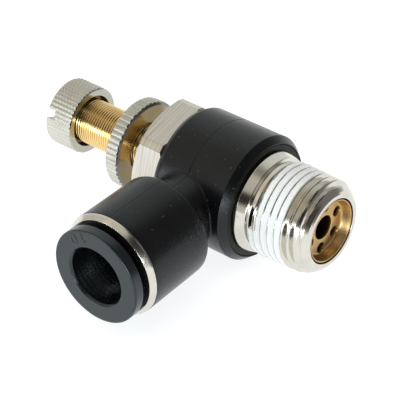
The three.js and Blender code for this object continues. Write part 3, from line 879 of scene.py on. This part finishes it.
def swivel_body():
    """One-piece body: barrel, neck and port housing outside; stem bore, passage and port bore
    inside. Two windows are left in the turned barrel, one outside and one in the bore, and a
    sleeve of rings joins them: fillet, neck, housing, port bore and passage."""
    columns, reach = 240, 27
    bore_window, window_end = 5.2, 7.4
    bevel = [x for x in BARREL_OUTLINE[:, 0] if BARREL_START < x < -5]
    seam_x = [-SEAM_HALF_WIDTH, SEAM_HALF_WIDTH, 0]
    wall = np.linspace(-bore_window, window_end, 29)
    window = np.concatenate([bevel, wall, [BARREL_START + 0.1], seam_x])
    beside_seam = (np.abs(window) > SEAM_HALF_WIDTH) & (np.abs(window) <= 0.2)
    window = np.unique(window[~beside_seam].round(4))
    lines = len(window) - 1
    right = BARREL_OUTLINE[BARREL_OUTLINE[:, 0] > window_end + 0.01]
    middle = np.stack([window, barrel_surface(window)], axis=-1)
    outer = np.vstack([BARREL_OUTLINE[:1], middle, right])
    outer[np.abs(outer[:, 0]) < 1e-6, 1] += SEAM_HEIGHT
    recess = [(7.85, 9.9), (7.85, BORE_RADIUS)]
    inner = np.linspace((bore_window, BORE_RADIUS), (-bore_window, BORE_RADIUS), lines + 1)
    outline = np.vstack([outer, recess, inner, [(BARREL_START, BORE_RADIUS)]])
    # columns run from -Y towards +Z
    angles = math.pi / 2 - TURN * np.arange(columns) / columns
    grid = around("x", outline[:, :1], outline[:, 1:], angles)
    rows = len(outline)
    index = np.arange(rows * columns).reshape(rows, columns)
    first_outer, first_inner = 1, len(outer) + len(recess)

    def in_window(row, column):
        sideways = column < reach or column >= columns - reach
        return sideways and (first_outer <= row < first_outer + lines
                             or first_inner <= row < first_inner + lines)

    faces = []
    for row in range(rows):
        for column in range(columns):
            if in_window(row, column):
                continue
            above, beside = (row + 1) % rows, (column + 1) % columns
            faces.append([index[row, column], index[row, beside],
                          index[above, beside], index[above, column]])

    def border(low_row, high_row):
        """The window's edge, once round from +X towards +Z."""
        up = [(high_row, c) for c in range(0, reach)]
        top = [(r, reach) for r in walk(high_row, low_row)]
        down = [(low_row, c) for c in range(reach, -reach, -1)]
        bottom = [(r, -reach) for r in walk(low_row, high_row)]
        last = [(high_row, c) for c in range(-reach, 0)]
        return [index[r, c % columns] for r, c in up + top + down + bottom + last]

    def walk(start, end):
        return range(start, end, 1 if end > start else -1)

    outer_edge = border(first_outer, first_outer + lines)
    inner_edge = border(first_inner + lines, first_inner)
    flat = grid.reshape(-1, 3)
    edge_out, edge_in = flat[outer_edge], flat[inner_edge]
    turn = np.arctan2(edge_out[:, 2], edge_out[:, 0])
    seam = np.isclose(edge_out[:, 0], 0, atol=1e-6) * SEAM_HEIGHT

    def on_barrel(x, z, surface):
        return np.stack([x, -np.sqrt(np.maximum(surface(x) ** 2 - z ** 2, 0)), z], axis=-1)

    def patch(edge, radius, surface, shares):
        """Rings on a barrel surface between a round hole and the window's edge."""
        edge_angle = np.arctan2(edge[:, 2], -edge[:, 1])
        hole_x, hole_z = radius * np.cos(turn), radius * np.sin(turn)
        hole_angle = np.arcsin(np.clip(hole_z / surface(hole_x), -1, 1))
        rings = []
        for share in shares:
            x = hole_x + share * (edge[:, 0] - hole_x)
            angle = hole_angle + share * (edge_angle - hole_angle)
            rings.append(around("x", x, surface(x), math.pi / 2 - angle))
        return rings

    fillet = 0.3 - 0.12 * np.clip(-np.cos(turn), 0, 1) ** 6
    hole = NECK_RADIUS + fillet

    def seamed_barrel(x):
        return barrel_surface(x) + np.isclose(x, 0, atol=1e-6) * SEAM_HEIGHT

    rings = patch(edge_out, hole, seamed_barrel, (0.75, 0.5, 0.25, 0.0))
    for step in range(1, 6):
        angle = math.radians(90 - 18 * step)
        radial = NECK_RADIUS + fillet * (1 - math.cos(angle)) + seam * step / 5
        point = on_barrel(radial * np.cos(turn), radial * np.sin(turn), barrel_surface)
        point[:, 1] -= fillet * (1 - math.sin(angle))
        rings.append(point)
    neck_start = rings[-1][:, 1]
    housing = rounded([
        (-13.6, NECK_RADIUS),
        (-14.5, NECK_RADIUS, 0.25),
        (-14.5, 9.06, 1.05),
        (-17.0, 9.12),
        (-26.5, 9.25),
        (HOUSING_MOUTH, 9.25, 0.12),
        (HOUSING_MOUTH, 8.1, 0.12),
        (-17.6, 8.1),
        (-17.6, 5.2),
        (-14.8, 5.2, 0.05),
        (-14.8, PASSAGE_RADIUS, 0.1),
        (-10.5, PASSAGE_RADIUS),
    ], closed=False)
    for share in (0.3, 0.65):
        y = neck_start + share * (housing[0, 0] - neck_start)
        rings.append(around("y", y, NECK_RADIUS + seam, turn))
    housing = divided(housing, 1.5, closed=False)
    mouth = int(np.argmin(housing[:, 0]))
    for k, (y, radius) in enumerate(housing):
        outside = k < mouth and y > HOUSING_MOUTH + 0.1
        rings.append(around("y", y, radius + (seam if outside else 0), turn))

    def bore_surface(x):
        return BORE_RADIUS + 0 * x

    passage = on_barrel(PASSAGE_RADIUS * np.cos(turn), PASSAGE_RADIUS * np.sin(turn), bore_surface)
    rings.append((passage + rings[-1]) / 2)
    rings += patch(edge_in, PASSAGE_RADIUS, bore_surface, (0.0, 0.3, 0.65))
    count = len(turn)
    ids = [outer_edge]
    ids += [range(len(flat) + k * count, len(flat) + (k + 1) * count) for k in range(len(rings))]
    ids.append(inner_edge)
    for near, far in zip(ids, ids[1:]):
        for c in range(count):
            beside = (c + 1) % count
            faces.append([near[c], near[beside], far[beside], far[c]])
    points = np.vstack([flat] + rings)

    mesh = bpy.data.meshes.new("body_moulding")
    mesh.from_pydata(to_frame(points).tolist(), [], [list(map(int, face)) for face in faces])
    cleaner = bmesh.new()
    cleaner.from_mesh(mesh)
    bmesh.ops.recalc_face_normals(cleaner, faces=cleaner.faces)
    cleaner.to_mesh(mesh)
    cleaner.free()
    mesh.shade_smooth()
    mesh.set_sharp_from_angle(angle=math.radians(32))
    obj = placed("body_moulding", mesh)
    return dress(obj, BODY_PLASTIC, "swivel", "black_plastic", "swivel_body")


def port_ring():
    """Plated ring round the port, rounded over at the front."""
    outline = rounded([
        (RING_BACK, 7.5),
        (-28.2, 7.5),
        (-28.2, 8.45),
        (RING_FACE, 8.45, 0.05),
        (RING_FACE, 8.58, 0.08),
        (RING_FACE + 0.75, 9.19, 0.1),
        (RING_FACE + 1.0, 9.22),
        (RING_FACE + 1.0, 7.98),
        (RING_BACK, 7.98),
    ])
    obj = mesh_object("port_ring_plated", revolved("y", divided(outline, 0.4), 240))
    return dress(obj, NICKEL_RING, "swivel", "nickel_plate", "port_ring")


def collet_guide():
    outline = rounded([
        (GUIDE_FACE, 6.95, 0.1),
        (GUIDE_FACE, 8.35, 0.05),
        (-28.3, 8.35),
        (-28.3, 7.4),
        (GUIDE_TAIL, 7.4),
        (GUIDE_TAIL, 7.2),
        (GUIDE_TAIL - 0.4, 6.95),
    ])
    obj = mesh_object("collet_guide_ring", revolved("y", outline, 192))
    return dress(obj, INNER_PLASTIC, "swivel", "inner_plastic", "collet_guide")


def release_sleeve():
    """Release sleeve with its broad head, a ribbed bore, and the tube size raised on its face."""
    bore, relief = 5.15, 0.07
    face = SLEEVE_FACE + relief
    outline = rounded([
        (face, bore + 0.32, 0.12),
        (face, 8.5, 0.3),
        (SLEEVE_FACE + 1.9, 8.5, 0.12),
        (SLEEVE_FACE + 1.9, 6.7, 0.1),
        (-24.9, 6.7),
        (SLEEVE_TAIL, 5.8, 0.1),
        (SLEEVE_TAIL, bore, 0.1),
        (face + 0.4, bore, 0.2),
    ])

    def ribs(stations, radii, angles):
        inside = (radii < bore + 0.01) & (stations > face + 1.2) & (stations < SLEEVE_TAIL - 0.5)
        pattern = wave(72 * angles / TURN) * wave(stations / 0.8)
        return np.where(inside, radii + 0.03 * pattern, radii)

    shells = [revolved("y", divided(outline, 0.2), 360, ribs)]
    # the number stands 6.95 mm from the port axis, with its top towards the axis
    place = math.radians(117)
    up = -np.array([math.cos(place), math.sin(place)])
    right = np.array([up[1], -up[0]])
    middle = -6.95 * up

    def ridge(path, closed):
        """A low round ridge on the face along a path of points to the right and up."""
        path = np.array(path, float)
        if closed:
            ahead = np.roll(path, -1, axis=0) - np.roll(path, 1, axis=0)
        else:
            ahead = np.gradient(path, axis=0)
        across = np.stack([-ahead[:, 1], ahead[:, 0]], axis=-1)
        across /= np.linalg.norm(across, axis=1)[:, None]
        half = [(0.06, 1.0), (0.13, 0.6), (0.15, -0.05)]
        rows = []
        for side, height in [(-side, height) for side, height in reversed(half)] + half:
            spot = path + side * across
            flat = middle + spot[:, :1] * right + spot[:, 1:] * up
            level = np.full(len(flat), face - relief * height)
            rows.append(np.stack([flat[:, 0], level, flat[:, 1]], axis=-1))
        return skin(np.array(rows).transpose(1, 0, 2), closed)

    oval = np.radians(np.arange(0, 360, 10))
    zero = np.stack([1.05 + 0.58 * np.cos(oval), 0.92 * np.sin(oval)], axis=-1)
    one = [(-1.45, 0.5), (-1.05, 0.92), (-1.0, 0.6), (-1.0, 0.0), (-1.0, -0.92)]
    shells += [ridge(zero, True), ridge(one, False)]
    obj = mesh_object("release_sleeve_head", *shells)
    return dress(obj, SLEEVE_PLASTIC, "sleeve", "sleeve_plastic", "release_sleeve")


def collet():
    """Spring collet: a ring of claws that lean in towards the tube."""
    outline = rounded([
        (COLLET_FRONT, 7.48),
        (COLLET_FRONT, 7.98),
        (COLLET_FRONT + 0.5, 7.98),
        (COLLET_BACK, 5.2),
        (COLLET_BACK - 0.2, 5.05),
    ])
    obj = mesh_object("collet_claws", revolved("y", outline, 192))
    slits, width, near, far = 12, 0.225, 4.6, 7.3
    corners = ((near, -width), (far, -width), (far, width), (near, width))
    rows = np.array([[(x, y, z) for x, z in corners] for y in (COLLET_BACK - 2.2, COLLET_BACK + 1)])
    points, faces = skin(rows, closed=False)
    for slit in range(slits):
        angle = TURN * (slit + 0.5) / slits
        obj = carved(obj, mesh_object("slit_cutter", (spun(points, "Y", angle), faces)))
    return dress(obj, STEEL, "swivel", "spring_steel", "collet")


def port_seals():
    """Tube seal and the plastic ring in front of it."""
    front, back = span("tube_seal", "y")
    seal = rounded([
        (back, 5.4), (back, 7.98, 0.1), (front, 7.98, 0.1), (front, 6.0, 0.1),
        (front + 0.8, 5.05, 0.1), (back - 0.7, 5.05, 0.1),
    ])
    dress(mesh_object("tube_seal_lip", revolved("y", seal, 144)), RUBBER, "swivel",
          "rubber", "tube_seal")
    low, high = span("seal_backup_ring", "y")
    ring = rounded([(low, 5.4, 0.1), (low, 7.98, 0.1), (high, 7.98, 0.1), (high, 5.4, 0.1)])
    dress(mesh_object("backup_ring_moulded", revolved("y", ring, 144)), INNER_PLASTIC, "swivel",
          "inner_plastic", "seal_backup_ring")


knob()
lock_nut()
needle()
stem()
sealant()
flow_insert()
check_seal()
retaining_ring()
o_ring("needle_seal", "needle_o_ring", 3.95, 0.52, "needle_slide")
o_ring("hex_side_seal", "hex_side_o_ring", 8.0, 0.78, "stem")
o_ring("thread_side_seal", "thread_side_o_ring", 8.0, 0.78, "stem")
swivel_body()
port_ring()
collet_guide()
release_sleeve()
collet()
port_seals()

# ---- Floor, light and camera ------------------------------------------------------------------

DARK = (0.03, 0.028, 0.025)
CEILING = (0.62, 0.60, 0.54)
# Patches of the room, each over the ones before: a direction, the angles in degrees within which
# the patch is whole and beyond which it is gone, and its tone.
ROOM = (
    ((-0.5, 0.85, 0.15), 30, 70, (0.80, 0.82, 0.80)),
    ((-0.45, -0.2, 0.87), 10, 35, (0.67, 0.61, 0.52)),
    ((-0.52, -0.60, 0.60), 4, 13, (0.84, 0.78, 0.68)),
    ((0.70, 0.50, 0.40), 25, 55, (0.20, 0.19, 0.18)),
    ((0.85, -0.25, 0.40), 14, 34, (0.07, 0.065, 0.06)),
    ((0.33, 0.10, 0.93), 8, 28, DARK),
    ((-0.05, -0.88, 0.48), 8, 20, DARK),
    ((0.52, -0.61, 0.60), 12, 30, DARK),
)
DAYLIGHT_LEFT, DAYLIGHT_RIGHT, LAMPLIGHT = (0.84, 0.94, 1.0), (0.84, 0.95, 1.0), (1.0, 0.99, 0.97)
LIGHT_DISTANCE = 0.9
CAMERA_DISTANCE = 0.3987


def floor():
    """A light table: pale card that is also lit from below, so that shadows stay faint."""
    surface = Surface("floor_card", (0.3, 0.3, 0.3), 0.9)
    surface.colour(surface.blend(surface.noise(0.02, 2.0), (0.29, 0.29, 0.29), (0.31, 0.31, 0.31)))
    surface.shader.inputs["Emission Color"].default_value = (0.97, 0.99, 1.0, 1.0)
    surface.shader.inputs["Emission Strength"].default_value = 0.88
    mesh = bpy.data.meshes.new("floor")
    corners = [(x, y, cad_low.z) for x, y in ((-3, -3), (3, -3), (3, 3), (-3, 3))]
    mesh.from_pydata(corners, [], [(0, 1, 2, 3)])
    mesh.materials.append(surface.material)
    placed("floor", mesh)


def area_light(name, direction, width, height, radiance, colour, gloss=True):
    """A softbox that looks at the valve from a direction. Radiance 1 is as bright as white card."""
    light = bpy.data.lights.new(name, "AREA")
    light.shape = "RECTANGLE"
    light.size, light.size_y = width, height
    light.energy = radiance * math.pi * width * height
    light.color = colour
    obj = placed(name, light)
    towards = Vector(direction).normalized()
    obj.location = towards * LIGHT_DISTANCE
    obj.rotation_euler = towards.to_track_quat("Z", "Y").to_euler()
    obj.visible_glossy = gloss


def world_light():
    """The room: beige above, pale behind, dark beyond the front light and round the camera."""
    world = bpy.data.worlds.new("studio")
    bpy.context.scene.world = world
    world.use_nodes = True
    nodes = Nodes(world.node_tree)
    background = nodes.tree.nodes["Background"]
    direction = nodes.tree.nodes.new("ShaderNodeTexCoord").outputs["Generated"]
    room = CEILING
    for towards, inner, outer, tint in ROOM:
        dot = nodes.vector("DOT_PRODUCT", direction, Vector(towards).normalized())
        edges = (math.cos(math.radians(angle)) for angle in (outer, inner))
        room = nodes.blend(nodes.spread(dot, 0.0, 1.0, *edges, curve="SMOOTHSTEP"), room, tint)
    nodes.link(background.inputs["Color"], room)
    background.inputs["Strength"].default_value = 1.0


def camera():
    """A long lens at the valve, from front right and above."""
    azimuth, elevation, roll = (math.radians(v) for v in (40.48, 36.71, -1.88))
    aim = to_frame((-1.85, -3.93, -2.40))
    right = Vector((math.cos(azimuth), math.sin(azimuth), 0))
    level = Vector((math.sin(azimuth), -math.cos(azimuth), 0))
    back = level * math.cos(elevation) + Vector((0, 0, math.sin(elevation)))
    up = back.cross(right)
    tilt = Matrix.Rotation(roll, 3, back)
    right, up = tilt @ right, tilt @ up
    data = bpy.data.cameras.new("camera")
    data.lens = 216
    data.sensor_width = 36
    data.clip_start = 0.01
    obj = placed("camera", data)
    place = Matrix((right, up, back)).transposed().to_4x4()
    place.translation = Vector(aim) + back * CAMERA_DISTANCE
    obj.matrix_world = place
    bpy.context.scene.camera = obj


floor()
world_light()
area_light("key_above", (0.15, -0.2, 1.0), 0.7, 0.7, 2.0, LAMPLIGHT, gloss=False)
area_light("window_left", (-0.42, -0.90, 0.17), 0.5, 0.22, 5.0, DAYLIGHT_LEFT)
area_light("window_right", (0.446, -0.895, 0.09), 0.52, 0.24, 8.0, DAYLIGHT_RIGHT)
camera()
bpy.context.scene.view_settings.view_transform = "Standard"
